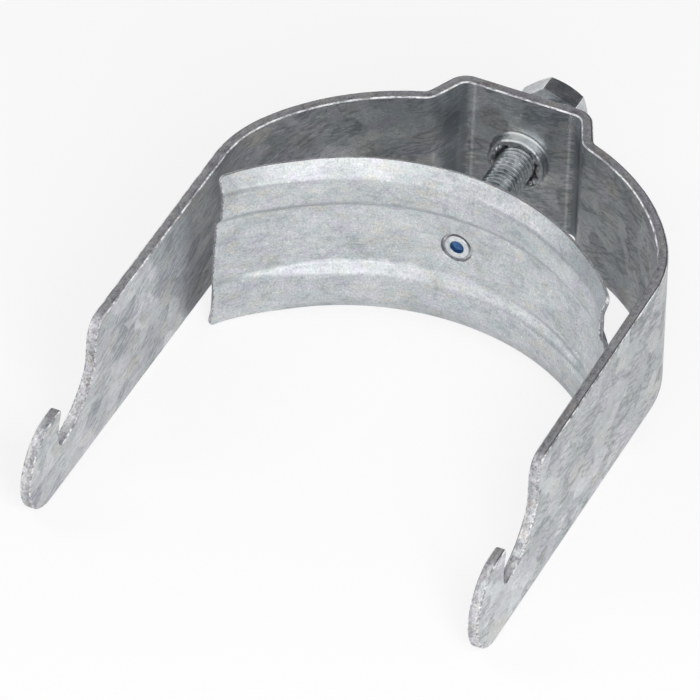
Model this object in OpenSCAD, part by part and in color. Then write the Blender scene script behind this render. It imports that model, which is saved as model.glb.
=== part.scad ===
// Strut pipe clamp: a bent steel strap whose two legs hook into a channel rail, a hexagon-head
// pressure screw through a tapped collar in its crown, and a pressed saddle swaged to the
// screw's tip, which bears on the pipe.
// The clamp lies on its side. Z is the pipe's axis, Y is the screw's axis with its head at +Y
// and the hooks at -Y, and X runs across the legs. The origin is the centre of the pipe's seat
// at mid width, with the screw backed out as far as head_gap says.

/* [Strap] */
// Width of the steel strip
strip_w = 40; // [34:0.5:46]
// Thickness of the steel strip
strip_t = 3; // [2.5:0.1:3.5]
// Room between the pipe's seat and each leg, beside the seat's centre
leg_room = 0.21; // [0.15:0.01:3]
// Angle by which each leg opens outwards
leg_splay = 1.1; // [0.4:0.1:2]
// Straight length of a leg, from the crown's bend to the centre of the foot's round end
leg_len = 103.2; // [100:0.2:118]
// Inside radius of the bend between a leg and the crown
side_r = 37; // [30:0.5:44]
// How much larger the crown's inside radius is than the pipe's seat
crown_room = 2.8; // [1:0.1:8]

/* [Boss] */
// Flat width of the pad that carries the screw
pad_w = 29; // [24:0.5:34]
// Height of the pad above the crown's outer round
boss_h = 6.7; // [5:0.1:9]
// Slope of the walls that lift the pad
wall_angle = 65; // [50:1:75]
// Inside radius of the bends at the pad
shoulder_r = 3; // [2:0.25:5]
// Outside radius of the bends at the foot of the walls
wall_foot_r = 3; // [2:0.25:5]

/* [Collar] */
// Outside diameter of the drawn collar
collar_d = 16; // [14:0.25:20]
// Height of the collar inside the pad
collar_h = 3.2; // [2:0.1:5]
// Radius at the collar's root and rim
collar_r = 1; // [0.5:0.1:1.6]

/* [Foot] */
// Distance down the leg at which the strip steps in to the neck
neck_at = 78; // [68:0.5:80]
// Radius of the strip's corner above the neck
neck_corner_r = 5.5; // [2:0.25:8]
// Radius in the corner below it
neck_fillet_r = 6; // [3:0.25:8]
// Width of the neck where the ramp to the notch starts
neck_w = 22.8; // [20:0.2:26]
// Slope of the ramp that leads to the notch
ramp_angle = 26.5; // [20:0.5:30]
// Distance down the leg of the hook's holding edge
hook_at = 99.4; // [96:0.1:101]
// Width of the foot, which is also the diameter of its round end
foot_w = 27; // [25:0.25:30]
// Radius in the bottom of the notch
notch_r = 2; // [1:0.1:2.5]
// Radius of the hook's tip
tip_r = 1; // [0.4:0.1:2]

/* [Saddle] */
// Radius of the two ridges that bear on the pipe
seat_r = 60.2; // [50:0.2:75]
// Width of the saddle along the pipe
saddle_w = 49; // [48:0.5:58]
// Angle that the saddle spans round the pipe
saddle_angle = 117; // [110:1:120]
// Thickness of the saddle's sheet
sheet_t = 1.25; // [1:0.05:1.5]
// Height of the ridges over the middle band
ridge_h = 2.6; // [2:0.1:3.4]
// Flat width on top of each ridge
ridge_flat = 5.6; // [4:0.1:6.5]
// Slope between the middle band and a ridge
ridge_angle = 48; // [40:1:60]
// Height by which the outer lips fall back from the ridges
lip_h = 2.7; // [2:0.1:3.4]
// Slope of the outer lips
lip_angle = 28; // [22:1:35]
// Mid-sheet radius of the saddle's pressed bends
press_r = 2.5; // [1.8:0.1:2.7]

/* [Screw] */
// Nominal diameter over the thread
screw_d = 9.9; // [8:0.1:11]
// Length from under the head to the shoulder on the saddle's back
thread_len = 56.3; // [50:0.1:60]
// Distance between the head and the pad
head_gap = 14.9; // [10:0.1:20]
// Width of the head across its flats
head_af = 17; // [15:0.5:19]
// Height of the head
head_h = 6.4; // [5:0.1:8]
// Turn of the head about the screw's axis
head_turn = 20; // [0:1:59]

/* [Swaged tip] */
// Diameter of the neck that runs in the saddle's hole
tip_neck_d = 6; // [5.4:0.1:6.4]
// Diameter of the spread rim that holds the saddle
rim_d = 7.4; // [7.2:0.1:7.8]
// Diameter of the drilled tip
tip_bore_d = 4.4; // [3:0.1:4.6]
// Depth of the drilled tip
tip_bore_depth = 7; // [4:0.5:12]
// Diameter of the dimple round the saddle's hole
dimple_d = 9.4; // [9:0.1:10.4]
// Depth of the dimple
dimple_depth = 1.1; // [1:0.05:1.3]

/* [Clearances] */
// Radial clearance of the screw in the collar and of its neck in the saddle
run_gap = 0.05; // [0.03:0.01:0.08]
// Gap between the screw's shoulder and the saddle's back
shoulder_gap = 0.1; // [0.05:0.05:0.2]

/* [Hidden] */
$fn = 96;
over = 1;                                   // how far a cutting solid reaches past a face
seam_lap = 0.6;                             // how far one fold of a sheet reaches into the next
seam_bow = 0.05;                            // a bend's extra radius, times its radius

// saddle, by radius from the seat's axis
band_r = seat_r + ridge_h;                  // inside of the middle band
back_r = band_r + sheet_t;                  // outside of the middle band
dimple_back = band_r + dimple_depth + 0.8 * sheet_t;
boss_back_d = dimple_d + 1.6 * sheet_t;

// screw, by its place on Y
shoulder_y = max(back_r, dimple_back) + shoulder_gap;
bearing_y = shoulder_y + thread_len;

// strap, by its place on Y
pad_y = bearing_y - head_gap;               // outside face of the pad
pad_mid_y = pad_y - strip_t / 2;
crown_r = seat_r + crown_room;
crown_y = pad_y - boss_h - crown_r - strip_t;   // centre of the crown's arc
// the bend between the crown and a leg touches both, and the leg passes leg_room clear of the
// seat: how far the bend's centre lies from the crown's, square to the leg and along it
bend_out = (seat_r + leg_room) * cos(leg_splay) - side_r - crown_y * sin(leg_splay);
bend_up = sqrt(pow(crown_r - side_r, 2) - bend_out * bend_out);
side_x = bend_out * cos(leg_splay) - bend_up * sin(leg_splay);
side_y = crown_y + bend_out * sin(leg_splay) + bend_up * cos(leg_splay);
leg_y = side_y + side_r * sin(leg_splay);   // where a leg's straight starts

// the strap's mid-line, from the middle of the pad down to a leg
crown_mid = crown_r + strip_t / 2;
side_mid = side_r + strip_t / 2;
shoulder_mid = shoulder_r + strip_t / 2;
wall_mid = wall_foot_r + strip_t / 2;
// centre of the wall's lower bend if the wall had no straight, and how far it lies from
// a bend that just touches the crown
wall_start = [pad_w / 2 + (shoulder_mid + wall_mid) * sin(wall_angle),
              pad_mid_y - shoulder_mid + (shoulder_mid + wall_mid) * cos(wall_angle) - crown_y];
wall_dir = [cos(wall_angle), -sin(wall_angle)];
wall_b = wall_start * wall_dir;
wall_c = wall_start * wall_start - pow(crown_mid + wall_mid, 2);
wall_len = -wall_b - sqrt(wall_b * wall_b - wall_c);
wall_end = wall_start + wall_len * wall_dir;
crown_from = atan2(wall_end[0], wall_end[1]);
crown_to = atan2(side_x, side_y - crown_y);
half_strap = [
    [pad_w / 2, 0],
    [shoulder_mid, -wall_angle],
    [wall_len, 0],
    [wall_mid, wall_angle - crown_from],
    [crown_mid, crown_from - crown_to],
    [side_mid, crown_to - 90 + leg_splay],
    [leg_len + foot_w, 0]
];

// the foot, seen along X: first value down the leg, second value along Z
foot_r = foot_w / 2;
edge_z = -strip_w / 2;                      // the strip's straight edge
foot_z = edge_z + foot_r;
hook_z = edge_z + foot_w;
neck_z = edge_z + neck_w;
function ramp_z(at) = neck_z - (at - neck_at) * tan(ramp_angle);

// the saddle's section, from its middle to a lip
half_angle = saddle_angle / 2;
ridge_run = (ridge_h - 2 * press_r * (1 - cos(ridge_angle))) / sin(ridge_angle);
lip_run = (lip_h - press_r * (1 - cos(lip_angle))) / sin(lip_angle);
ridge_width = 2 * press_r * sin(ridge_angle) + ridge_run * cos(ridge_angle);
lip_width = press_r * sin(lip_angle) + lip_run * cos(lip_angle);
band_half = saddle_w / 2 - lip_width - ridge_flat - ridge_width;
half_saddle = [
    [band_half, 0],
    [press_r, ridge_angle],
    [ridge_run, 0],
    [press_r, -ridge_angle],
    [ridge_flat, 0],
    [press_r, -lip_angle],
    [lip_run, 0]
];

function ray(angle) = [cos(angle), sin(angle)];

// Sheet seen edge-on, laid from the origin along +X. A step [length, 0] is straight, and a step
// [mid-sheet radius, angle] is a bend, to the left where the angle is positive. Where two steps
// meet, each reaches past the seam on the side where the other one hides it, and the tighter one
// is drawn a few microns wide of its centre, so that their faces cross in one clean line.
module folded_sheet(steps, t, i = 0) {
    if (i < len(steps)) {
        size = steps[i][0];
        angle = steps[i][1];
        here = curvature(steps[i]);
        first = i == 0 ? 0 : sign(here - curvature(steps[i - 1]));
        last = i == len(steps) - 1 ? 0 : sign(here - curvature(steps[i + 1]));
        if (angle == 0) {
            polygon([
                [-lap(first), -t / 2],
                [size + lap(last), -t / 2],
                [size + lap(-last), t / 2],
                [-lap(-first), t / 2]
            ]);
            translate([size, 0]) folded_sheet(steps, t, i + 1);
        } else {
            side = sign(angle);
            translate([0, side * size]) {
                mirror([0, side < 0 ? 1 : 0]) bend(size, abs(angle), t, side * first, side * last);
                rotate(angle) translate([0, -side * size]) folded_sheet(steps, t, i + 1);
            }
        }
    }
}

// A bend to the left about the origin, which starts straight below it.
module bend(size, angle, t, first, last) {
    wide = size + seam_bow / size;
    intersection() {
        difference() {
            circle(wide + t / 2);
            circle(wide - t / 2);
        }
        polygon([
            [0, 0],
            [-far_lap(-first), t - size],
            [-far_lap(first), -t - size],
            1.5 * (size + t) * ray(angle / 2 - 90),
            turned([far_lap(last), -t - size], angle),
            turned([far_lap(-last), t - size], angle)
        ]);
    }
}

function curvature(step) = step[1] == 0 ? 0 : sign(step[1]) / step[0];
function lap(side) = side > 0 ? seam_lap : side < 0 ? -seam_lap / 5 : 0;
function far_lap(side) = 1.5 * lap(side) - 0.5 * lap(-side);
function turned(at, angle) = at[0] * ray(angle) + at[1] * ray(angle + 90);

// Fills the inside corner between two edges that leave it at the angles from and to.
module corner_fill(corner, from, to, r) {
    half = abs(to - from) / 2;
    middle = (from + to) / 2;
    turn = sign(to - from) * (90 - half);
    centre = corner + r / sin(half) * ray(middle);
    translate(centre) difference() {
        polygon([
            [0, 0],
            1.5 * r * ray(middle + 180 + turn),
            (r / sin(half) + r) * ray(middle + 180),
            1.5 * r * ray(middle + 180 - turn)
        ]);
        circle(r + seam_bow / 10);
    }
}

// What a leg keeps of the strip below neck_at.
module leg_profile() {
    difference() {
        union() {
            translate([neck_at - 2 * neck_corner_r, edge_z])
                square([2 * neck_corner_r, strip_w]);
            polygon([
                [neck_at - over, edge_z],
                [leg_len, edge_z],
                [leg_len, ramp_z(leg_len)],
                [neck_at, neck_z],
                [neck_at - over, neck_z]
            ]);
            translate([leg_len, foot_z]) intersection() {
                circle(foot_r);
                translate([-over, -foot_r]) square([foot_r + 2 * over, foot_w]);
            }
            translate([hook_at, edge_z]) square([leg_len - hook_at, foot_w]);
            corner_fill([neck_at, neck_z], 90, -ramp_angle, neck_fillet_r);
            corner_fill([hook_at, ramp_z(hook_at)], 90, 180 - ramp_angle, notch_r);
        }
        corner_fill([neck_at, -edge_z], 180, 270, neck_corner_r);
        corner_fill([hook_at, hook_z], -90, 0, tip_r);
    }
}

module both_sides() {
    children();
    mirror([1, 0, 0]) children();
}

// Turns a shape drawn about Z so that it stands along +Y, starting at y.
module along_y(y) {
    translate([0, y, 0]) rotate([-90, 0, 0]) children();
}

module strap() {
    color([0.66, 0.67, 0.69])
    difference() {
        union() {
            translate([0, 0, -strip_w / 2]) linear_extrude(strip_w)
                both_sides() translate([0, pad_mid_y]) folded_sheet(half_strap, strip_t);
            along_y(pad_y - strip_t - collar_h) collar();
        }
        // the feet: what lies outside the leg's profile is sheared away
        translate([-2 * seat_r, leg_y, 0]) rotate([90, 0, 90]) linear_extrude(4 * seat_r)
            mirror([1, 0]) difference() {
                translate([neck_at - neck_corner_r, edge_z - over])
                    square([2 * leg_len, strip_w + 2 * over]);
                leg_profile();
            }
        along_y(pad_y - strip_t - collar_h - over)
            cylinder(h = strip_t + collar_h + 2 * over, d = screw_d + 2 * run_gap);
    }
}

// Drawn collar: a rounded rim, and a root that flows into the pad.
module collar() {
    rotate_extrude() difference() {
        union() {
            square([collar_d / 2, collar_h + strip_t / 2]);
            corner_fill([collar_d / 2, collar_h], 270, 360, collar_r);
        }
        corner_fill([collar_d / 2, 0], 90, 180, collar_r);
    }
}

module saddle() {
    color([0.78, 0.8, 0.81])
    difference() {
        union() {
            rotate([0, 0, 90 - half_angle]) rotate_extrude(angle = saddle_angle)
                for (side = [0, 1]) mirror([0, side])
                    translate([band_r + sheet_t / 2, 0]) rotate(90)
                        folded_sheet(half_saddle, sheet_t);
            along_y(band_r + sheet_t / 2)
                cylinder(h = dimple_back - band_r - sheet_t / 2, d = boss_back_d);
        }
        along_y(band_r) cylinder(h = dimple_depth, d1 = dimple_d, d2 = rim_d);
        along_y(band_r - over) cylinder(h = over, d = dimple_d);
        along_y(band_r - over)
            cylinder(h = dimple_back - band_r + 2 * over, d = tip_neck_d + 2 * run_gap);
    }
}

module screw() {
    rim_y = band_r + shoulder_gap;          // the swaged rim lies just under the band
    color([0.7, 0.76, 0.84])
    difference() {
        union() {
            along_y(shoulder_y) cylinder(h = thread_len, d = screw_d);
            along_y(rim_y) cylinder(h = shoulder_y - rim_y, d = tip_neck_d);
            along_y(rim_y) rim();
            along_y(bearing_y) hex_head();
        }
        along_y(rim_y - over) cylinder(h = tip_bore_depth + over, d = tip_bore_d);
    }
}

// The tip's rim, spread over the hole: rounded in front and sloping behind.
module rim() {
    rim_t = dimple_depth / 2;
    round_r = rim_t / 2;
    rotate_extrude() {
        translate([rim_d / 2 - round_r, round_r]) circle(round_r);
        square([rim_d / 2 - round_r, rim_t]);
    }
}

// Hexagon head whose outer corners are turned off at 30 degrees.
module hex_head() {
    corner_d = head_af / cos(30);
    turned = (corner_d - head_af) / 2 * tan(30);
    intersection() {
        rotate(head_turn) cylinder(h = head_h, d = corner_d, $fn = 6);
        union() {
            cylinder(h = head_h - turned, d = corner_d + over);
            translate([0, 0, head_h - turned - over])
                cylinder(h = turned + over, d1 = corner_d + 2 * over / tan(30), d2 = head_af);
        }
    }
}

strap();
saddle();
screw();
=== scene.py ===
# %% [markdown]
# A strut pipe clamp, dressed for its photograph.
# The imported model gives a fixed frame: Z is the pipe's axis, Y the screw's axis with the head at
# +Y, X runs across the legs, and the origin is the centre of the pipe's seat. Blender works in
# metres, but a maker thinks in millimetres, so pieces are drawn in millimetres and scaled by MM.

# %% Load the frame
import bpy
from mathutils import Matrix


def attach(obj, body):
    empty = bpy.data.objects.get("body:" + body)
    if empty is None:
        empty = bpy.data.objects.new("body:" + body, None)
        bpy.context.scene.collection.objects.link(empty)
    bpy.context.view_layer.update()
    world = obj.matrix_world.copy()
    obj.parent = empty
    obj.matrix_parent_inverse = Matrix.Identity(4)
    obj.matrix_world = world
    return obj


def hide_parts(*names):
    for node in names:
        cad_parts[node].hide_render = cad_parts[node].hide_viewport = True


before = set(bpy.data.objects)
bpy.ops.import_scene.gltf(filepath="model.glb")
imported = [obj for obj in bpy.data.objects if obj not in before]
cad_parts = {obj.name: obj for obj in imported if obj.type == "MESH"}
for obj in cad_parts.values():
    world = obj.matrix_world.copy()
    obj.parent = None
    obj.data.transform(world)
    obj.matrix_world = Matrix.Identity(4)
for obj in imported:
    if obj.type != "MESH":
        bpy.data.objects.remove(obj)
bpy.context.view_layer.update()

import math
import bmesh
import bpy
from mathutils import Matrix, Vector, noise

MM = 0.001

# %% [markdown]
# The camera comes first, because everything after it is judged through it. The photograph was
# taken from far away with a long lens, so the strap's parallel edges stay parallel. An
# orthographic camera shows that exactly. Its three axes and its width come from the strap's edges.

# %% Camera
CAMERA_RIGHT = Vector((0.91350, 0.40489, 0.03990))
CAMERA_BACK = Vector((0.28987, -0.71649, 0.63452))
LOOKS_AT = Vector((-13.756, 27.344, -13.089)) * MM
VIEW_WIDTH = 180.64 * MM

camera_up = CAMERA_BACK.cross(CAMERA_RIGHT).normalized()
camera = bpy.data.objects.new("camera", bpy.data.cameras.new("camera"))
camera.data.type = "ORTHO"
camera.data.ortho_scale = VIEW_WIDTH
camera.data.clip_end = 5.0
turn = Matrix((CAMERA_RIGHT, camera_up, CAMERA_BACK)).transposed()
camera.matrix_world = Matrix.Translation(LOOKS_AT + CAMERA_BACK * 0.8) @ turn.to_4x4()
bpy.context.scene.collection.objects.link(camera)
bpy.context.scene.camera = camera
bpy.context.scene.view_settings.view_transform = "Standard"
print("camera at", [round(v, 3) for v in camera.location])

# %% [markdown]
# Colours are picked as they look on a screen, which is sRGB, but shaders work on linear light.
# One function turns a hex colour into linear numbers. A second one adds a shader node with its
# settings and links, so that a material reads as a list of what is mixed into what.

# %% Helpers for colours and nodes
def linear(hex_colour):
    parts = [int(hex_colour[i:i + 2], 16) / 255 for i in (1, 3, 5)]
    return [c / 12.92 if c <= 0.04045 else ((c + 0.055) / 1.055) ** 2.4 for c in parts] + [1.0]


def put(tree, kind, inputs=None, **settings):
    """Adds a node. inputs maps a socket's name or number to a value or to a node's output."""
    made = tree.nodes.new("ShaderNode" + kind)
    for name, value in settings.items():
        setattr(made, name, value)
    for name, value in (inputs or {}).items():
        if isinstance(value, bpy.types.Node):
            value = value.outputs[0]
        if isinstance(value, bpy.types.NodeSocket):
            tree.links.new(value, made.inputs[name])
        else:
            made.inputs[name].default_value = value
    return made


def new_material(name):
    material = bpy.data.materials.new(name)
    material.use_nodes = True
    material.node_tree.nodes.clear()
    return material, material.node_tree


print("mid grey is", [round(v, 3) for v in linear("#808080")[:3]])

# %% [markdown]
# The studio is a white table under a light tent. What the camera and the metal see of them is
# white in its own right, so the lamps can stay at a plain level, and the table still shows the
# clamp's shadow. The clamp rests on the saddle's lower corners and on its two feet, so the table
# leans a little in this frame to meet both.

# %% World and table
TENT_FILL = 0.40                # how strongly the tent lights the clamp
SEEN_WHITE = 0.82               # how much of the table's look is its own white, to the camera
MIRRORED_WHITE = 0.03           # and in the metal, which mirrors it too
TABLE_SIZE = 6.0
world = bpy.data.worlds.new("light_tent")
bpy.context.scene.world = world
world.use_nodes = True
tree = world.node_tree
tree.nodes.clear()
path = put(tree, "LightPath")
seen = put(tree, "Math", {0: path.outputs["Is Camera Ray"], 1: path.outputs["Is Glossy Ray"]},
           operation="MAXIMUM")
seen = put(tree, "Math", {0: seen, 1: path.outputs["Is Transmission Ray"]}, operation="MAXIMUM")
level = put(tree, "MapRange", {"Value": seen, "To Min": TENT_FILL, "To Max": 1.0})
tent = put(tree, "Background", {"Color": linear("#FFFFFF"), "Strength": level.outputs["Result"]})
put(tree, "OutputWorld", {"Surface": tent})

SADDLE_REST = Vector((0.0, 31.5, -24.8)) * MM
FOOT_REST = Vector((0.0, -62.0, -20.05)) * MM
lean = math.atan2(FOOT_REST.z - SADDLE_REST.z, SADDLE_REST.y - FOOT_REST.y)
bpy.ops.mesh.primitive_plane_add(size=TABLE_SIZE, location=SADDLE_REST, rotation=(-lean, 0, 0))
table = bpy.context.object
table.name = "table"
material, tree = new_material("white_laminate")
path = put(tree, "LightPath")
mirrored = put(tree, "Math", {0: path.outputs["Is Glossy Ray"],
                              1: path.outputs["Is Transmission Ray"]}, operation="MAXIMUM")
mirrored = put(tree, "Math", {0: mirrored, 1: MIRRORED_WHITE}, operation="MULTIPLY")
own_white = put(tree, "Math", {0: path.outputs["Is Camera Ray"], 1: SEEN_WHITE, 2: mirrored},
                operation="MULTIPLY_ADD")
paint = put(tree, "BsdfPrincipled", {"Base Color": linear("#F2F2F2"), "Roughness": 0.9})
glow = put(tree, "Emission", {"Color": linear("#FFFFFF"), "Strength": 1.0})
mixed = put(tree, "MixShader", {0: own_white, 1: paint, 2: glow})
put(tree, "OutputMaterial", {"Surface": mixed})
table.data.materials.append(material)
print("the table leans by", round(math.degrees(lean), 2), "degrees")

# %% [markdown]
# A tall soft lamp stands at the right of the camera and a small one at the upper left. A lamp
# strong enough for the table would burn out in the metal, so the light comes from two lamps that
# leave no glare, as polarised ones do, and a weak softbox is the only one that the metal mirrors.
# A black card hangs high at the back. Only the metal sees it, and it gives the strip's upper
# edges and the screw their dark lines, as a card does in a photographer's studio.

# %% Lamps and the black card
LAMP_DISTANCE, CARD_DISTANCE = 0.9, 0.7
FROM_THE_RIGHT, FROM_THE_LEFT = (0.50, -0.71, 0.50), (-0.7, -0.25, 0.8)
FROM_BEHIND = (-0.05, 0.75, 0.66)


def hang(thing, towards, distance):
    """Hangs a lamp or a card that faces the clamp."""
    direction = Vector(towards).normalized()
    thing.location = LOOKS_AT + direction * distance
    thing.rotation_euler = direction.to_track_quat("Z", "Y").to_euler()


def add_lamp(name, towards, size, power):
    light = bpy.data.lights.new(name, "AREA")
    light.shape = "RECTANGLE"
    light.size, light.size_y = size
    light.energy = power
    lamp = bpy.data.objects.new(name, light)
    hang(lamp, towards, LAMP_DISTANCE)
    bpy.context.scene.collection.objects.link(lamp)
    return lamp


for name, towards, size, power in (
        ("key_light", FROM_THE_RIGHT, (0.35, 0.60), 5.6),
        ("side_light", FROM_THE_LEFT, (0.35, 0.35), 1.2)):
    add_lamp(name, towards, size, power).visible_glossy = False
add_lamp("softbox", FROM_THE_RIGHT, (0.20, 0.60), 1.9)
bpy.ops.mesh.primitive_plane_add(size=1.0)
card = bpy.context.object
card.name = "black_card"
card.scale = (0.95, 0.9, 1.0)
hang(card, FROM_BEHIND, CARD_DISTANCE)
card.visible_camera = card.visible_diffuse = card.visible_shadow = False
material, tree = new_material("black_felt")
felt = put(tree, "BsdfDiffuse", {"Color": linear("#5C5C61"), "Roughness": 1.0})
put(tree, "OutputMaterial", {"Surface": felt})
card.data.materials.append(material)

# %% [markdown]
# The strap and the saddle are both folded sheets, so both are made as the shop makes them: a flat
# blank is drawn, its cut edges are rounded, and it is then folded along a line of straights and
# bends. The walker below follows such a line. A step (length, 0) is straight, and a step
# (radius, angle) is a bend, to the left where the angle is positive.

# %% Walking along a folded line
def length_of(step):
    return step[0] if step[1] == 0 else step[0] * math.radians(abs(step[1]))


def walk(steps, distance):
    """The place and the heading, in radians, that far along a line that starts along +X."""
    x = y = heading = 0.0
    for size, angle in steps:
        run = min(distance, length_of((size, angle)))
        if angle == 0:
            x += run * math.cos(heading)
            y += run * math.sin(heading)
        else:
            side = math.copysign(1.0, angle)
            after = heading + side * run / size
            x += side * size * (math.sin(after) - math.sin(heading))
            y -= side * size * (math.cos(after) - math.cos(heading))
            heading = after
        distance -= run
        if distance <= 0:
            break
    return x, y, heading


def arc(cx, cy, radius, start, end, step=8.0):
    """Points on an arc, from one angle to another in degrees."""
    count = max(2, round(abs(end - start) / step))
    angles = [math.radians(start + (end - start) * i / count) for i in range(count + 1)]
    return [(cx + radius * math.cos(a), cy + radius * math.sin(a)) for a in angles]


print("a 90 degree bend of 10 mm radius is", round(length_of((10, 90)), 2), "mm long")

# %% [markdown]
# A press shears a blank out of flat stock. On the side where the punch enters, the edge rolls
# over and becomes round; that round catches the light all along the strap. On the other side it
# stays nearly sharp. In Blender the blank is one polygon extruded to the sheet's thickness. Its
# rims are bevelled, and the whole is cut across wherever it will bend. Cutting a big polygon with
# planes is far less work than laying out a grid round a notch. The faces are turned outwards
# before the bevel, because it goes by their normals.

# %% Shearing a blank
FACE, SHEARED, RIM = 0, 1, 2    # material numbers: broad faces, cut edges, rolled rims


def sheared_blank(outline, thickness, roll, burr, cuts_along, cuts_across):
    """A flat blank in millimetres: X along it, Y across it, and the rolled edge on its +Z side."""
    blank = bmesh.new()
    rings = []
    for depth in (-thickness / 2, thickness / 2):
        ring = [blank.verts.new((x, y, depth)) for x, y in outline]
        blank.faces.new(ring)
        rings.append(ring)
    for i, (lower, upper) in enumerate(zip(*rings)):
        after = (i + 1) % len(outline)
        side = blank.faces.new((lower, rings[0][after], rings[1][after], upper))
        side.material_index = SHEARED
    bmesh.ops.recalc_face_normals(blank, faces=blank.faces)
    for depth, size, segments in ((thickness / 2, roll, 4), (-thickness / 2, burr, 1)):
        rim = [e for e in blank.edges if all(abs(v.co.z - depth) < 1e-6 for v in e.verts)]
        bmesh.ops.bevel(blank, geom=rim, offset=size, segments=segments, profile=0.5,
                        affect="EDGES", material=RIM)
    for normal, places in (((1, 0, 0), cuts_along), ((0, 1, 0), cuts_across)):
        for place in places:
            bmesh.ops.bisect_plane(
                blank, geom=blank.verts[:] + blank.edges[:] + blank.faces[:], dist=1e-5,
                plane_co=Vector(normal) * place, plane_no=normal)
    return blank


def cut_places(steps, fine, coarse):
    """Where to cut along a folded line: every so many degrees of a bend, or so many mm."""
    places, distance = [], 0.0
    for size, angle in steps:
        run = length_of((size, angle))
        count = max(1, math.ceil(abs(angle) / fine if angle else run / coarse))
        places += [distance + run * i / count for i in range(1, count + 1)]
        distance += run
    return [0.0] + places + [-p for p in places]


print("blanks have materials", FACE, SHEARED, RIM, "on faces, cut edges and rims")

# %% [markdown]
# Both sheets have a formed hole: the strap's pad has a collar drawn inwards for the thread, and
# the saddle has a dimple for the screw's swaged tip. Both are turned shapes, so they are given as
# a profile of (radius, depth, roughness) points from one face of the sheet to the other. Rows
# where the metal tore have the finish of a cut edge, and the dimple's wall and floor take it too,
# as painted shade. Faces are taken out round the hole, the profile is turned into rings, and the
# flat between the first ring and the cut square is filled with triangles.

# %% Forming a hole
RING = 96
TORN_WAVES, SUNK_WAVES = 5.5, 6.5   # how quickly a torn rim goes in and out, and up and down


def form_hole(blank, half_square, profile, thickness, seed, torn_and_shaded_rows):
    inside = [f for f in blank.faces
              if all(max(abs(v.co.x), abs(v.co.y)) < half_square + 1e-4 for v in f.verts)]
    bmesh.ops.delete(blank, geom=inside, context="FACES")
    open_edges = [e for e in blank.edges if len(e.link_faces) == 1]
    rings = []
    for radius, depth, rough in profile:
        ring = []
        for i in range(RING):
            angle = 2 * math.pi * i / RING
            way = Vector((math.cos(angle), math.sin(angle), 0))
            torn = rough * noise.fractal(way * TORN_WAVES + Vector((0, 0, seed)), 0.6, 2.0, 3)
            sunk = rough * noise.fractal(way * SUNK_WAVES + Vector((9, 0, seed)), 0.6, 2.0, 3)
            ring.append(blank.verts.new(way * (radius + torn) + Vector((0, 0, depth + sunk))))
        rings.append(ring)
    for row, (lower, upper) in enumerate(zip(rings, rings[1:])):
        for i in range(RING):
            after = (i + 1) % RING
            face = blank.faces.new((lower[i], lower[after], upper[after], upper[i]))
            face.material_index = SHEARED if row in torn_and_shaded_rows else FACE
    borders, inner = [], set()
    for ring, depth in ((rings[0], -thickness / 2), (rings[-1], thickness / 2)):
        border = [e for e in open_edges if abs(e.verts[0].co.z - depth) < 1e-4]
        border += [blank.edges.get((ring[i], ring[(i + 1) % RING])) for i in range(RING)]
        borders += border
        filled = bmesh.ops.triangle_fill(blank, edges=border, use_beauty=True, normal=(0, 0, 1))
        for part in filled["geom"]:
            if isinstance(part, bmesh.types.BMFace):
                inner.update(part.edges)
    bmesh.ops.subdivide_edges(blank, edges=list(inner - set(borders)), cuts=1)


print("holes have", RING, "points round them")

# %% [markdown]
# A finished mesh becomes a piece of the model: it rides on its body, stands in for the CAD node
# of that body, which is hidden, and takes the materials that it is given. Smooth shading
# with weighted normals keeps broad flats flat beside their small round edges. The place that
# each point had on the flat blank is kept as an attribute, in millimetres. The materials read it,
# so that crystals and streaks follow the folded sheet without a seam.

# %% Making a piece
def make_piece(shape, name, body, materials, sharp_over=38.0):
    mesh = bpy.data.meshes.new(name)
    bmesh.ops.recalc_face_normals(shape, faces=shape.faces)
    shape.to_mesh(mesh)
    shape.free()
    for material in materials:
        mesh.materials.append(material)
    made = bpy.data.objects.new(name, mesh)
    bpy.context.scene.collection.objects.link(made)
    mesh.polygons.foreach_set("use_smooth", [True] * len(mesh.polygons))
    mesh.set_sharp_from_angle(angle=math.radians(sharp_over))
    weigh = made.modifiers.new("flat_faces_stay_flat", "WEIGHTED_NORMAL")
    weigh.keep_sharp = True
    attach(made, body)
    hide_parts(body)
    print(name, "has", len(mesh.polygons), "faces")


def fold(blank, place_of):
    """Moves every point from the flat to its folded place, and keeps where it was."""
    flat = blank.verts.layers.float_vector.new("flat_mm")
    for vert in blank.verts:
        vert[flat] = vert.co
        vert.co = Vector(place_of(*vert.co)) * MM


print("pieces are drawn in units of", MM, "m")

# %% [markdown]
# Hot-dip galvanised steel is covered by zinc that froze on it in flat crystals, the spangle. Each
# crystal grew feathers in its own direction and so gives back the light at its own level, which
# reads as a patchwork of paler and darker greys with soft streaks. A smooth Voronoi texture gives
# the crystals and chooses between two sets of feathers, which are noises drawn out at two angles.
# All of it goes into one number, so each pattern is weighed in by how far it lies from 0.5.

# %% Crystals and grains
CRYSTAL_STRETCH = 1.5           # a moving strip's crystals are longer along it
FEATHER_ANGLES = (18.0, -12.0)  # degrees from the strip's length


def grains(tree, flat, size, length, degrees=0.0, **settings):
    """Noise in grains of that size and length in mm on the flat blank, turned by an angle."""
    place = put(tree, "Mapping", {"Vector": flat, "Rotation": (0, 0, math.radians(degrees)),
                                  "Scale": (length, size, size)}, vector_type="TEXTURE")
    return put(tree, "TexNoise", {"Vector": place, "Scale": 1.0, **settings})


def weigh_in(tree, total, pattern, share):
    total = put(tree, "Math", {0: pattern, 1: share, 2: total}, operation="MULTIPLY_ADD")
    return put(tree, "Math", {0: total, 1: -share / 2}, operation="ADD")


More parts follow.
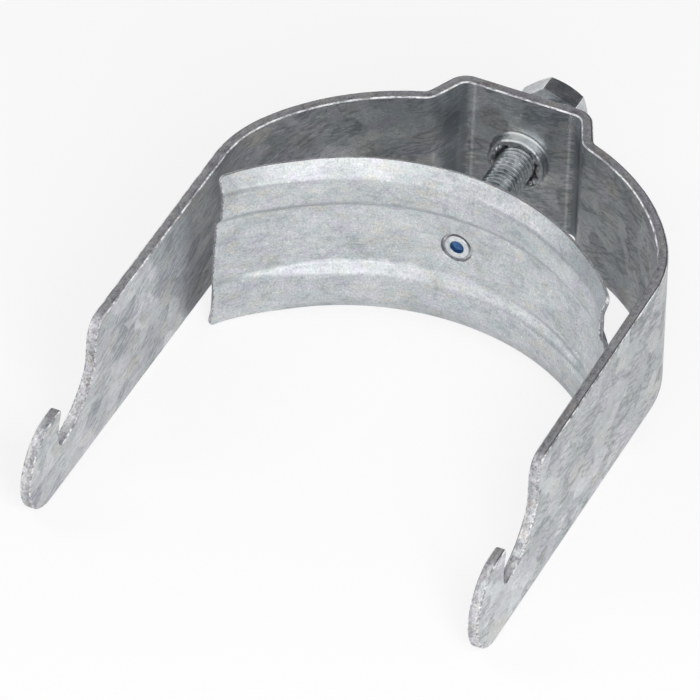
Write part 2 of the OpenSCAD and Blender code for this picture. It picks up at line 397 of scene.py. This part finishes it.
def spangle(tree, flat, crystal, feathers):
    """The feathered crystals, and three random numbers that each crystal has of its own."""
    size, share = crystal
    place = put(tree, "Mapping", {"Vector": flat, "Scale": (size * CRYSTAL_STRETCH, size, size)},
                vector_type="TEXTURE")
    crystals = put(tree, "TexVoronoi", {"Vector": place, "Scale": 1.0, "Smoothness": 0.25},
                   feature="SMOOTH_F1")
    chance = put(tree, "SeparateColor", {"Color": crystals.outputs["Color"]})
    total = put(tree, "Math", {0: chance.outputs[1], 1: share, 2: 0.5 - share / 2},
                operation="MULTIPLY_ADD")
    size, length, share = feathers
    one_way, other_way = [grains(tree, flat, size, length, angle, Detail=4.0, Roughness=0.7)
                          for angle in FEATHER_ANGLES]
    side = put(tree, "MapRange", {"Value": chance.outputs[0], "From Min": 0.35,
                                  "From Max": 0.65})
    grown = put(tree, "Mix", {"Factor": side.outputs["Result"], "A": one_way, "B": other_way})
    return weigh_in(tree, total, grown, share), chance


print("a crystal is", CRYSTAL_STRETCH, "times as long as wide")

# %% [markdown]
# The handling of the strip left more marks. Creases are long faint lines where the frozen zinc
# was bent: they run where a slow noise crosses its middle value, on some crystals only. Bright
# and dark bands across the pad and its walls are painted highlight and painted shade. And a punch
# leaves a smooth, bright zone where it enters a sheared edge, and a torn, darker one below it.

# %% Marks of handling and of the press, and painted light bands
CREASE_ANGLE, CREASE_WIDTH = 14.0, 0.09
PAINTED_BANDS_REACH = 40.0               # mm from the blank's middle to the last painted light band
ZONE_FROM, ZONE_TO, ZONE_WAVE = 0.8, 1.5, 2.4   # where the torn zone ends, and how unevenly, mm


def crease(tree, hills, share, chance, total):
    off = put(tree, "Math", {0: hills, 1: 0.5}, operation="SUBTRACT")
    off = put(tree, "Math", {0: off}, operation="ABSOLUTE")
    line = put(tree, "MapRange", {"Value": off, "From Max": CREASE_WIDTH, "To Min": -share,
                                  "To Max": 0.0})
    some = put(tree, "MapRange", {"Value": chance.outputs[2], "From Min": 0.2,
                                  "From Max": 0.6})
    return put(tree, "Math", {0: line.outputs["Result"], 1: some.outputs["Result"], 2: total},
               operation="MULTIPLY_ADD")


# Adds the bands of painted highlight and painted shade across the blank.
def paint_light_bands(tree, flat, painted_light_bands, total):
    place = put(tree, "SeparateXYZ", {"Vector": flat})
    along = put(tree, "Math", {0: place.outputs["X"]}, operation="ABSOLUTE")
    along = put(tree, "Math", {0: along, 1: 1 / PAINTED_BANDS_REACH}, operation="MULTIPLY")
    painted_bands = put(tree, "ValToRGB", {"Fac": along})
    painted_bands.color_ramp.interpolation = "EASE"
    while len(painted_bands.color_ramp.elements) < len(painted_light_bands):
        painted_bands.color_ramp.elements.new(0.5)
    for element, (at, brighter) in zip(painted_bands.color_ramp.elements, painted_light_bands):
        element.position = at / PAINTED_BANDS_REACH
        element.color = [0.5 + brighter] * 3 + [1.0]
    total = put(tree, "Math", {0: painted_bands, 1: total}, operation="ADD")
    return put(tree, "Math", {0: total, 1: -0.5}, operation="ADD")


def shear(tree, flat, hills, zones, total):
    depth = put(tree, "SeparateXYZ", {"Vector": flat})
    zone = put(tree, "Math", {0: hills, 1: ZONE_WAVE, 2: depth.outputs["Z"]},
               operation="MULTIPLY_ADD")
    zone = put(tree, "MapRange", {"Value": zone, "From Min": ZONE_FROM, "From Max": ZONE_TO,
                                  "To Min": -zones, "To Max": zones})
    return put(tree, "Math", {0: zone.outputs["Result"], 1: total}, operation="ADD")


print("creases run at", CREASE_ANGLE, "degrees to the strip")

# %% [markdown]
# Zinc is a metal, so nearly all its look comes from what it mirrors. The one number sets both the
# colour and the gloss, because a bright crystal is also a smoother one. The thin oxide skin has a
# hue of its own on each crystal: lilac, plain, greenish or cream.

# %% Zinc
SKIN_HUES = ((0.0, "#F4F2F9"), (0.35, "#F8F8F9"), (0.6, "#F0F5F6"), (1.0, "#F9F6F1"))
ZINC_METALLIC, GLOSS_SPREAD = 0.97, 0.09


def zinc(name, dark, pale, roughness, crystal, feathers, creases, patterns, bump_mm,
         ramp=0.30, zones=0.0, painted_light_bands=()):
    """A zinc surface. Each pattern is (size, length, share), in mm on the flat blank, and the
    share says how strongly it shows. crystal has no length of its own. The list of bands gives
    painted highlight and painted shade across the blank: (mm from its middle, how much brighter)."""
    material, tree = new_material(name)
    flat = put(tree, "Attribute", attribute_type="GEOMETRY",
               attribute_name="flat_mm").outputs["Vector"]
    total, chance = spangle(tree, flat, crystal, feathers)
    for size, length, share in patterns:
        marks = grains(tree, flat, size, length, Detail=3.0, Roughness=0.6)
        total = weigh_in(tree, total, marks, share)
    size, length, share = creases
    hills = grains(tree, flat, size, length, CREASE_ANGLE, Detail=1.6, Roughness=0.5,
                   Distortion=0.15)
    total = crease(tree, hills, share, chance, total)
    if painted_light_bands:
        total = paint_light_bands(tree, flat, painted_light_bands, total)
    if zones:
        total = shear(tree, flat, hills, zones, total)
    low, high = 0.5 - ramp, 0.5 + ramp
    colour = put(tree, "ValToRGB", {"Fac": total})
    for element, position, tone in zip(colour.color_ramp.elements, (low, high), (dark, pale)):
        element.position = position
        element.color = linear(tone)
    skin = put(tree, "ValToRGB", {"Fac": chance.outputs[0]})
    while len(skin.color_ramp.elements) < len(SKIN_HUES):
        skin.color_ramp.elements.new(0.5)
    for element, (position, tone) in zip(skin.color_ramp.elements, SKIN_HUES):
        element.position = position
        element.color = linear(tone)
    colour = put(tree, "Mix", {"Factor": 1.0, "A": colour.outputs[0], "B": skin.outputs[0]},
                 data_type="RGBA", blend_type="MULTIPLY")
    gloss = put(tree, "MapRange", {"Value": total, "From Min": low, "From Max": high,
                                   "To Min": roughness + GLOSS_SPREAD,
                                   "To Max": roughness - GLOSS_SPREAD})
    bump = put(tree, "Bump", {"Height": total, "Strength": 1.0, "Distance": bump_mm * MM})
    surface = put(tree, "BsdfPrincipled", {"Base Color": colour.outputs[2],
                                           "Metallic": ZINC_METALLIC,
                                           "Roughness": gloss.outputs["Result"],
                                           "Normal": bump})
    put(tree, "OutputMaterial", {"Surface": surface})
    return material


print("the zinc's skin has", len(SKIN_HUES), "hues")

# %% [markdown]
# Four finishes come from it. Thick zinc on the strip shows large crystals with long feathers, and
# bands of painted highlight and painted shade across the pad. Its sheared edges are gritty and
# dull, with a lilac cast. Their rolled rims were polished by the punch, so they are bright lines.
# The saddle's thin sheet was rolled after coating: its crystals are crushed to a fine, even
# speckle.

# %% The four zinc finishes
# The strip's bands are painted highlight along the pad's edges and painted shade over the
# shoulders and down the walls.
galvanised_strip = zinc("hot_dip_galvanised_strip", dark="#A2A6AB", pale="#FFFFFF",
                        roughness=0.29, crystal=(4.6, 0.22), feathers=(0.7, 2.6, 0.56),
                        creases=(1.7, 7.0, 0.22), bump_mm=0.05,
                        patterns=[(0.45, 0.6, 0.42), (0.6, 7.0, 0.20), (14.0, 22.0, 0.4)],
                        painted_light_bands=((0, 0.0), (12.8, 0.0), (13.5, 0.24), (14.3, -0.05),
                                 (17.0, -0.34), (22.0, -0.26), (26.0, -0.10), (34.0, 0.0)))
sheared_steel = zinc("sheared_edge_of_strip", dark="#8A868E", pale="#FFFFFF", roughness=0.56,
                     crystal=(2.5, 0.10), feathers=(0.8, 2.0, 0.35), creases=(1.4, 2.6, 0.1),
                     bump_mm=0.08, patterns=[(0.5, 0.6, 0.6), (1.4, 2.2, 0.6), (8.0, 16.0, 0.3)],
                     zones=0.05)
rolled_rim = zinc("rolled_rim_of_strip", dark="#9A9A9E", pale="#FFFFFF", roughness=0.28,
                  crystal=(2.0, 0.15), feathers=(0.8, 4.0, 0.7), creases=(1.2, 2.0, 0.1),
                  bump_mm=0.02, patterns=[(0.5, 0.6, 0.8), (0.8, 3.0, 1.2)], ramp=0.2)
galvanised_sheet = zinc("galvanised_sheet", dark="#B2B8BC", pale="#FFFFFF", roughness=0.31,
                        crystal=(2.2, 0.06), feathers=(0.7, 1.4, 0.28), creases=(5.0, 9.0, 0.10),
                        bump_mm=0.03,
                        patterns=[(0.5, 0.5, 0.8), (1.1, 1.1, 0.35), (0.5, 12.0, 0.22),
                                  (10.0, 18.0, 0.5)])
print("zinc finishes:", [m.name for m in (galvanised_strip, sheared_steel, rolled_rim,
                                          galvanised_sheet)])

# %% [markdown]
# The strap's numbers are those of the CAD source. Its half line runs from the middle of the pad
# over a shoulder, down the pad's wall, round the crown and down one leg.

# %% The strap's folded line
STRIP_W, STRIP_T = 40.0, 3.0
INSIDE_W, SPLAY, LEG_LEN = 119.0, 1.1, 103.2
SIDE_R, CROWN_R = 37.0, 63.0
PAD_W, BOSS_H, WALL_ANGLE, SHOULDER_R, WALL_FOOT_R = 29.0, 6.7, 65.0, 3.0, 3.0
PAD_Y = 106.4

crown_y = PAD_Y - BOSS_H - CROWN_R - STRIP_T
side_x = INSIDE_W / 2 - SIDE_R * math.cos(math.radians(SPLAY))
side_y = crown_y + math.sqrt((CROWN_R - SIDE_R) ** 2 - side_x ** 2)
crown_mid, side_mid = CROWN_R + STRIP_T / 2, SIDE_R + STRIP_T / 2
shoulder_mid, wall_mid = SHOULDER_R + STRIP_T / 2, WALL_FOOT_R + STRIP_T / 2
slope = math.radians(WALL_ANGLE)
wall_start = Vector((PAD_W / 2 + (shoulder_mid + wall_mid) * math.sin(slope),
                     PAD_Y - STRIP_T / 2 - shoulder_mid
                     + (shoulder_mid + wall_mid) * math.cos(slope) - crown_y))
wall_way = Vector((math.cos(slope), -math.sin(slope)))
half_b = wall_start.dot(wall_way)
wall_len = -half_b - math.sqrt(half_b ** 2 - wall_start.dot(wall_start)
                               + (crown_mid + wall_mid) ** 2)
wall_end = wall_start + wall_way * wall_len
crown_from = math.degrees(math.atan2(wall_end.x, wall_end.y))
crown_to = math.degrees(math.atan2(side_x, side_y - crown_y))
STRAP_LINE = [
    (PAD_W / 2, 0), (shoulder_mid, -WALL_ANGLE), (wall_len, 0),
    (wall_mid, WALL_ANGLE - crown_from), (crown_mid, crown_from - crown_to),
    (side_mid, crown_to - 90 + SPLAY), (LEG_LEN + 20, 0),
]
to_leg = sum(length_of(step) for step in STRAP_LINE[:-1])
print("from the pad's middle to where a leg begins is", round(to_leg, 1), "mm of strip")

# %% [markdown]
# The foot is sheared out of the strip's end: a neck steps in, a ramp leads down to a notch, and
# the hook stands up beyond it. The shear's tool was worn round in the notch, so its line is drawn
# as a smooth curve through a few points, while the neck's corner and the foot are true rounds.

# %% The strap's blank
NECK_AT, NECK_CORNER_R = 78.0, 5.5
HOOK_Z, TIP_R, FOOT_AT, FOOT_R = 7.0, 1.0, 102.85, 13.5
LEG_CUTS, LEG_CUT_EVERY = 18, 6.0       # cuts across each leg, so that its finish stays even
NOTCH_LINE = [(78.0, 10.5), (78.05, 7.0), (78.8, 4.2), (80.4, 1.9), (83.0, -0.7), (86.0, -2.9),
              (89.5, -4.4), (93.0, -5.4), (95.4, -5.8), (97.3, -5.4), (98.6, -4.0), (99.2, -1.8),
              (99.3, 0.6), (98.9, 3.4), (98.25, 6.0)]


def smooth(points, steps=4):
    """A curve through all the points, which leaves each one along its neighbours' line."""
    ends = [points[0]] + points + [points[-1]]
    curve = []
    for before, here, there, beyond in zip(ends, ends[1:], ends[2:], ends[3:]):
        for k in range(steps):
            f = k / steps
            curve.append(tuple(
                b + f * (c - a) / 2 + f * f * (2 * a - 5 * b + 4 * c - d) / 2
                + f ** 3 * (3 * b - a - 3 * c + d) / 2
                for a, b, c, d in zip(before, here, there, beyond)))
    return curve + [points[-1]]


edge = STRIP_W / 2
leg_outline = (
    arc(NECK_AT - NECK_CORNER_R, edge - NECK_CORNER_R, NECK_CORNER_R, 90, 0)
    + smooth(NOTCH_LINE)
    + arc(NOTCH_LINE[-1][0] + TIP_R, HOOK_Z - TIP_R, TIP_R, 165, 90, 15)
    + arc(FOOT_AT, HOOK_Z - FOOT_R, FOOT_R, 90, -90, 5)
)
half_outline = [(to_leg + a, z) for a, z in leg_outline]
strap_outline = half_outline + [(-s, z) for s, z in reversed(half_outline)]
PAD_SQUARE = 12.5
strap_blank = sheared_blank(
    strap_outline, STRIP_T, roll=0.6, burr=0.35,
    cuts_along=cut_places(STRAP_LINE[:-1], fine=2.5, coarse=6.0)
    + [side * (to_leg + LEG_CUT_EVERY * i) for i in range(1, LEG_CUTS + 1) for side in (1, -1)]
    + [PAD_SQUARE, -PAD_SQUARE],
    cuts_across=[-PAD_SQUARE, -6.0, 0.0, 6.0, PAD_SQUARE])
print("the strap's blank is", round(2 * (to_leg + FOOT_AT + FOOT_R), 1), "mm long")

# %% [markdown]
# The collar was drawn out of the pad by a punch and then tapped, so its rim is torn and uneven
# and its root flows into the pad. A thin dark gap stays round the screw.

# %% The strap's collar
collar = (
    [(9.0 + c, -2.5 + d, 0.0) for c, d in arc(0, 0, 1.0, 90, 180, 18)]
    + [(8.0, -3.3, 0.06)]
    + [(7.1 + c, -3.8 + d, 0.16) for c, d in arc(0, 0, 0.9, 0, -90, 18)]
    + [(6.85, -4.55, 0.5), (6.5, -4.6, 0.9), (6.2, -4.4, 1.0), (5.9, -4.0, 0.6),
       (5.75, -3.0, 0.2), (5.7, -1.6, 0.05), (5.03, -1.2, 0.0), (5.03, 0.9, 0.0)]
    + [(6.03 + c, 0.5 + d, 0.0) for c, d in arc(0, 0, 1.0, 180, 90, 18)]
)
COLLAR_TORN = range(14, 21)
form_hole(strap_blank, PAD_SQUARE, collar, STRIP_T, seed=4, torn_and_shaded_rows=COLLAR_TORN)


def on_strap(s, z, depth):
    x, y, heading = walk(STRAP_LINE, abs(s))
    x -= depth * math.sin(heading)
    y += depth * math.cos(heading) + PAD_Y - STRIP_T / 2
    return (math.copysign(x, s) if s else 0.0), y, z


fold(strap_blank, on_strap)
make_piece(strap_blank, "folded_strap", "strap",
           [galvanised_strip, sheared_steel, rolled_rim])

# %% [markdown]
# The saddle is thin galvanised sheet, pressed into two ridges that bear on the pipe with a low
# band between them, and rolled to the pipe's curve. It is cut from a rounded rectangle, and one
# end was cut a little askew.

# %% The saddle's blank
SEAT_R, SADDLE_W, SADDLE_ANGLE, SHEET_T = 60.2, 49.0, 117.0, 1.25
RIDGE_H, RIDGE_FLAT, RIDGE_ANGLE, LIP_H, LIP_ANGLE, PRESS_R = 2.6, 5.2, 48.0, 2.7, 28.0, 3.2
BAND_R = SEAT_R + RIDGE_H
band_mid_r = BAND_R + SHEET_T / 2
ridge_turn, lip_turn = math.radians(RIDGE_ANGLE), math.radians(LIP_ANGLE)
ridge_run = (RIDGE_H - 2 * PRESS_R * (1 - math.cos(ridge_turn))) / math.sin(ridge_turn)
lip_run = (LIP_H - PRESS_R * (1 - math.cos(lip_turn))) / math.sin(lip_turn)
ridge_width = 2 * PRESS_R * math.sin(ridge_turn) + ridge_run * math.cos(ridge_turn)
lip_width = PRESS_R * math.sin(lip_turn) + lip_run * math.cos(lip_turn)
band_half = SADDLE_W / 2 - lip_width - RIDGE_FLAT - ridge_width
SADDLE_LINE = [
    (band_half, 0), (PRESS_R, RIDGE_ANGLE), (ridge_run, 0), (PRESS_R, -RIDGE_ANGLE),
    (RIDGE_FLAT, 0), (PRESS_R, -LIP_ANGLE), (lip_run, 0),
]
half_length = band_mid_r * math.radians(SADDLE_ANGLE / 2)
half_width = sum(length_of(step) for step in SADDLE_LINE)
CORNER_R, ASKEW = 1.6, 1.0
quarter = arc(half_length - CORNER_R, half_width - CORNER_R, CORNER_R, 0, 90, 15)
top = quarter + [(-a, p) for a, p in reversed(quarter)]
saddle_outline = top + [(-a, -p) for a, p in top]
saddle_outline = [(a - ASKEW * max(0.0, -p / half_width) if a < 0 else a, p)
                  for a, p in saddle_outline]
DIMPLE_SQUARE = 7.8
degree_cuts = [band_mid_r * math.radians(1.5 * i) for i in range(-39, 40)]
saddle_blank = sheared_blank(
    saddle_outline, SHEET_T, roll=0.3, burr=0.2,
    cuts_along=[a for a in degree_cuts if abs(a) < half_length - 0.2]
    + [DIMPLE_SQUARE, -DIMPLE_SQUARE],
    cuts_across=[p for p in cut_places(SADDLE_LINE, fine=8.0, coarse=2.8)
                 if abs(p) < half_width - 0.35] + [DIMPLE_SQUARE, -DIMPLE_SQUARE])
print("the saddle's blank is", round(2 * half_length, 1), "x", round(2 * half_width, 1), "mm")

# %% [markdown]
# A punch sank a small cup for the screw's tip, so that the tip doesn't touch the pipe, and tore a
# hole in its floor. The press let go of the saddle's ends a little early: the ridges flatten out
# there, and the ends spring away from the pipe's curve, more at the left than at the right.

# %% The saddle's dimple and its curve
dimple = [
    (4.75, -0.625, 0.0), (4.52, -0.60, 0.02), (4.40, -0.52, 0.05), (4.33, -0.35, 0.05),
    (4.28, 0.0, 0.04), (4.2, 0.3, 0.02), (4.05, 0.45, 0.0), (3.7, 0.475, 0.0), (3.05, 0.475, 0.0),
    (3.05, 1.3, 0.0), (3.2, 1.47, 0.0), (4.6, 1.47, 0.0), (5.2, 1.38, 0.0), (5.6, 1.05, 0.0),
    (5.9, 0.8, 0.0), (6.4, 0.66, 0.0), (6.8, 0.625, 0.0),
]
# The cup's wall and floor take the cut edge's darker, duller finish as painted shade, so that the
# cup reads as a dark ring round the tip. Only the last of these rows, the hole's wall, is torn.
DIMPLE_TORN_AND_SHADED = range(2, 9)
form_hole(saddle_blank, DIMPLE_SQUARE, dimple, SHEET_T, seed=7, torn_and_shaded_rows=DIMPLE_TORN_AND_SHADED)


RIDGE_FADES_FROM = 30.0
KEPT_RIGHT, KEPT_LEFT_TOP, KEPT_LEFT_LOW = 0.55, 0.8, 0.35
SPRUNG_FROM, SPRUNG_LEFT, SPRUNG_RIGHT = 38.0, 1.5, 0.9


def eased_share(degrees, start):
    """From 0 at the start angle to 1 at the saddle's ends, without a kink."""
    share = min(1.0, max(0.0, (abs(degrees) - start) / (SADDLE_ANGLE / 2 - start)))
    return share * share * (3 - 2 * share)


def ridge_kept(degrees, z):
    """How much of its height a ridge keeps, from the middle to the saddle's ends."""
    end = KEPT_RIGHT if degrees > 0 else (KEPT_LEFT_TOP if z > 0 else KEPT_LEFT_LOW)
    return 1.0 - (1.0 - end) * eased_share(degrees, RIDGE_FADES_FROM)


def sprung(degrees):
    """How far the ends stand out from the pipe's curve, because the rolled sheet sprang back."""
    reach = SPRUNG_LEFT if degrees < 0 else SPRUNG_RIGHT
    return reach * eased_share(degrees, SPRUNG_FROM)


def on_saddle(a, p, depth):
    z, rise, heading = walk(SADDLE_LINE, abs(p))
    z += depth * math.sin(heading)
    angle = a / band_mid_r
    degrees = math.degrees(angle)
    rise *= ridge_kept(degrees, p)
    radius = band_mid_r + sprung(degrees) - rise + depth * math.cos(heading)
    return (radius * math.sin(angle), radius * math.cos(angle),
            math.copysign(z, p) if p else 0.0)


fold(saddle_blank, on_saddle)
make_piece(saddle_blank, "pressed_saddle", "saddle",
           [galvanised_sheet, sheared_steel, rolled_rim])

# %% [markdown]
# The screw is a set of turned shapes on one axis: a drilled tip whose rim is spread into the
# dimple, a shoulder that pushes on the saddle's back, the thread, and the hexagon head. The
# thread is one long ribbon wound up the axis. Each row of the ribbon crosses one pitch, from the
# root up a flank, over the crest and down again, and the next turn begins where it ended. It
# fades in over a chamfer at the shoulder and runs out under the head.

# %% The screw's thread
PITCH, CREST_R, ROOT_R = 1.5, 4.95, 4.08
SHOULDER_Y, THREAD_END_Y, BEARING_Y = 65.0, 119.6, 121.3
PER_TURN = 48
START_R, START_SLOPE, RUN_OUT_R, RUN_OUT_SLOPE = 3.6, 1.1, ROOT_R + 0.1, 0.45
JOIN_WITHIN = 0.004             # points this near to each other, in mm, are one
row_shape = [(0.0, ROOT_R), (0.10, ROOT_R), (0.44, CREST_R - 0.06), (0.50, CREST_R),
             (0.62, CREST_R), (0.68, CREST_R - 0.06), (1.0, ROOT_R)]


def thread_place(turns, along, radius):
    y = SHOULDER_Y + (turns - 1 + along) * PITCH
    y = min(max(y, SHOULDER_Y), THREAD_END_Y)
    radius = min(radius, START_R + (y - SHOULDER_Y) * START_SLOPE,
                 RUN_OUT_R + max(0.0, THREAD_END_Y - y) * RUN_OUT_SLOPE)
    angle = 2 * math.pi * turns
    return Vector((radius * math.cos(angle), y, -radius * math.sin(angle)))


screw_shape = bmesh.new()
turn_count = math.ceil((THREAD_END_Y - SHOULDER_Y) / PITCH) + 1
rows = []
for i in range(turn_count * PER_TURN + 1):
    turns = i / PER_TURN
    rows.append([screw_shape.verts.new(thread_place(turns, along, radius))
                 for along, radius in row_shape])
for row, after in zip(rows, rows[1:]):
    for k in range(len(row_shape) - 1):
        screw_shape.faces.new((row[k], row[k + 1], after[k + 1], after[k]))
bmesh.ops.remove_doubles(screw_shape, verts=screw_shape.verts, dist=JOIN_WITHIN)
bmesh.ops.dissolve_degenerate(screw_shape, edges=screw_shape.edges, dist=JOIN_WITHIN)
print("the thread has", turn_count, "turns")

# %% [markdown]
# The tip was drilled from below, pushed through the saddle's hole, and spread with a round punch,
# so that its rim holds the saddle and still turns in it. At the other end a plain neck joins the
# thread to the head. Both are profiles turned about the axis.

# %% The screw's turned ends
RIM_Y, TIP_BORE_R = 62.9, 1.85
NECK_R, NECK_STEP = 4.5, 0.5


def turn_profile(shape, profile, count=72):
    """Turns (radius, y) points about the screw's axis. A radius of 0 closes the shape."""
    rings = []
    for radius, y in profile:
        if radius == 0:
            rings.append([shape.verts.new((0, y, 0))] * count)
            continue
        angles = [2 * math.pi * i / count for i in range(count)]
        rings.append([shape.verts.new((radius * math.cos(a), y, -radius * math.sin(a)))
                      for a in angles])
    for lower, upper in zip(rings, rings[1:]):
        for i in range(count):
            after = (i + 1) % count
            corners = dict.fromkeys((lower[i], lower[after], upper[after], upper[i]))
            shape.faces.new(corners)


tip = [(0, RIM_Y + 2.6), (TIP_BORE_R, RIM_Y + 1.6), (TIP_BORE_R, RIM_Y + 0.55)]
tip += [(TIP_BORE_R + 0.35 - 0.35 * math.cos(a), RIM_Y + 0.35 - 0.35 * math.sin(a))
        for a in (0.3, 0.8, 1.2, math.pi / 2)]
tip += [(3.2, RIM_Y + 0.02), (3.42, RIM_Y + 0.12), (3.52, RIM_Y + 0.28), (3.5, RIM_Y + 0.45),
        (3.4, RIM_Y + 0.55), (3.0, RIM_Y + 0.62), (3.0, SHOULDER_Y), (START_R, SHOULDER_Y)]
turn_profile(screw_shape, tip)
turn_profile(screw_shape, [(RUN_OUT_R, THREAD_END_Y), (NECK_R - 0.05, THREAD_END_Y + NECK_STEP),
                           (NECK_R, BEARING_Y)])
print("the tip's rim is at y", RIM_Y, "mm and its bore is", 2 * TIP_BORE_R, "mm wide")

# %% [markdown]
# The head was forged from wire and its corners were turned off at 30 degrees. It is drawn as
# rings that follow a hexagon with slightly round corners. Where the cone of the chamfer cuts the
# corners, each point is lowered by how far it lies outside the chamfer's circle, which gives the
# curved scallops that every hexagon head has.

# %% The screw's head
HEAD_AF, HEAD_H, HEAD_TURN, HEAD_CORNER_R = 17.0, 6.4, 20.0, 0.45
CHAMFER_R = HEAD_AF / 2 * 0.95
CHAMFER_SLOPE = math.tan(math.radians(30))


def hexagon(across_flats):
    """Outline points of a hexagon with round corners: four along each flat, five at a corner."""
    points = []
    inner = (across_flats / 2 - HEAD_CORNER_R) / math.cos(math.radians(30))
    for k in range(6):
        corner = math.radians(60 * k + HEAD_TURN)
        centre = Vector((inner * math.cos(corner), inner * math.sin(corner)))
        for step in range(-2, 3):
            a = corner + math.radians(15 * step)
            points.append(centre + HEAD_CORNER_R * Vector((math.cos(a), math.sin(a))))
        follow = math.radians(60 * (k + 1) + HEAD_TURN)
        end = Vector((inner * math.cos(follow), inner * math.sin(follow)))
        a = corner + math.radians(30)
        shift = HEAD_CORNER_R * Vector((math.cos(a), math.sin(a)))
        for step in (0.2, 0.4, 0.6, 0.8):
            points.append(centre.lerp(end, step) + shift)
    return points


outline = hexagon(HEAD_AF)


def head_ring(y_of, scale=1.0, round_r=None):
    ring = []
    for point in outline:
        at = point.normalized() * round_r if round_r else point * scale
        ring.append(screw_shape.verts.new((at.x, y_of(point.length), -at.y)))
    return ring


def chamfered(drop):
    return lambda radius: (BEARING_Y + HEAD_H - drop
                           - max(0.0, radius - CHAMFER_R) * CHAMFER_SLOPE)


# From the neck out over the bearing face, up the flats, over the chamfer and into the shallow
# dish on top. Heights are in mm from the bearing face.
rings = [
    head_ring(lambda r: BEARING_Y, round_r=NECK_R),
    head_ring(lambda r: BEARING_Y, round_r=7.6),
    head_ring(lambda r: BEARING_Y + 0.05, scale=0.965),
    head_ring(lambda r: BEARING_Y + 0.28, scale=1.0),
    head_ring(lambda r: BEARING_Y + 2.0),
    head_ring(chamfered(0.22)),
    head_ring(chamfered(0.05), scale=0.985),
    head_ring(lambda r: BEARING_Y + HEAD_H, round_r=CHAMFER_R * 0.97),
    head_ring(lambda r: BEARING_Y + HEAD_H, round_r=CHAMFER_R * 0.9),
    head_ring(lambda r: BEARING_Y + HEAD_H - 0.25, round_r=CHAMFER_R * 0.84),
    head_ring(lambda r: BEARING_Y + HEAD_H - 0.3, round_r=1.5),
]
for lower, upper in zip(rings, rings[1:]):
    for i in range(len(outline)):
        after = (i + 1) % len(outline)
        screw_shape.faces.new((lower[i], lower[after], upper[after], upper[i]))
screw_shape.faces.new(rings[-1])
for vert in screw_shape.verts:
    vert.co *= MM
print("the head is", HEAD_AF, "mm across flats")

# %% [markdown]
# The screw is electroplated with bright zinc and passivated. The plating is thin and smooth, so
# it mirrors far more sharply than dipped zinc. The passivation film gives it a cool, bluish cast,
# deepest where the film pooled, in the drilled tip. The thread's valleys are painted darker as
# shade, so how far a point lies from the axis darkens it there.

# %% Zinc plating
GRAINS_PER_M, CLOUDS_PER_M = 900.0, 160.0   # grains of about 1 mm, clouds of about 6 mm
FILM_LOW, FILM_HIGH = 0.3, 0.7              # the stretch of the noises that is used


def plated(name, dark, pale, roughness, painted_valley_shade=0.0, metallic=0.95):
    material, tree = new_material(name)
    place = put(tree, "TexCoord")
    from_axis = put(tree, "VectorMath", {0: place.outputs["Object"], 1: (1, 0, 1)},
                    operation="MULTIPLY")
    from_axis = put(tree, "VectorMath", {0: from_axis}, operation="LENGTH")
    # Painted shade in the thread's valleys: the nearer a point lies to the axis, the darker it is.
    valley_shade = put(tree, "MapRange", {"Value": from_axis.outputs["Value"],
                                    "From Min": ROOT_R * MM, "From Max": CREST_R * MM,
                                    "To Min": painted_valley_shade, "To Max": 0.0})
    grain = put(tree, "TexNoise", {"Vector": place.outputs["Object"], "Scale": GRAINS_PER_M,
                                   "Detail": 3.0, "Roughness": 0.6})
    clouds = put(tree, "TexNoise", {"Vector": place.outputs["Object"], "Scale": CLOUDS_PER_M,
                                    "Detail": 3.0, "Roughness": 0.55})
    both = put(tree, "Math", {0: grain, 1: clouds}, operation="ADD")
    both = put(tree, "Math", {0: both, 1: 0.5}, operation="MULTIPLY")
    both = put(tree, "Math", {0: both, 1: valley_shade.outputs["Result"]}, operation="SUBTRACT")
    colour = put(tree, "ValToRGB", {"Fac": both})
    for element, position, tone in zip(colour.color_ramp.elements, (FILM_LOW, FILM_HIGH),
                                       (dark, pale)):
        element.position = position
        element.color = linear(tone)
    gloss = put(tree, "MapRange", {"Value": clouds, "From Min": FILM_LOW, "From Max": FILM_HIGH,
                                   "To Min": roughness - 0.06, "To Max": roughness + 0.08})
    bump = put(tree, "Bump", {"Height": grain, "Strength": 0.25, "Distance": 0.03 * MM})
    surface = put(tree, "BsdfPrincipled", {"Base Color": colour, "Metallic": metallic,
                                           "Roughness": gloss.outputs["Result"],
                                           "Normal": bump})
    put(tree, "OutputMaterial", {"Surface": surface})
    return material


threaded_zinc = plated("zinc_plated_thread", "#7C858C", "#F8FBFC", 0.24, painted_valley_shade=0.10)
bright_zinc = plated("bright_zinc_plating", "#A9B3BA", "#FFFFFF", 0.20)
blue_zinc = plated("blue_passivated_bore", "#16365E", "#5C8CC0", 0.3, metallic=0.6)
THREADED, BRIGHT, BLUE = 0, 1, 2        # material numbers on the screw
for face in screw_shape.faces:
    middle = face.calc_center_median() / MM
    deep = math.hypot(middle.x, middle.z) < TIP_BORE_R + 0.02 and middle.y < RIM_Y + 3
    if SHOULDER_Y - 0.1 < middle.y < BEARING_Y - 0.1:
        face.material_index = THREADED
    else:
        face.material_index = BLUE if deep else BRIGHT
make_piece(screw_shape, "pressure_screw", "screw",
           [threaded_zinc, bright_zinc, blue_zinc], sharp_over=50.0)

# %% [markdown]
# Last, the view layer is brought up to date.

# %% Bringing the scene up to date
bpy.context.view_layer.update()
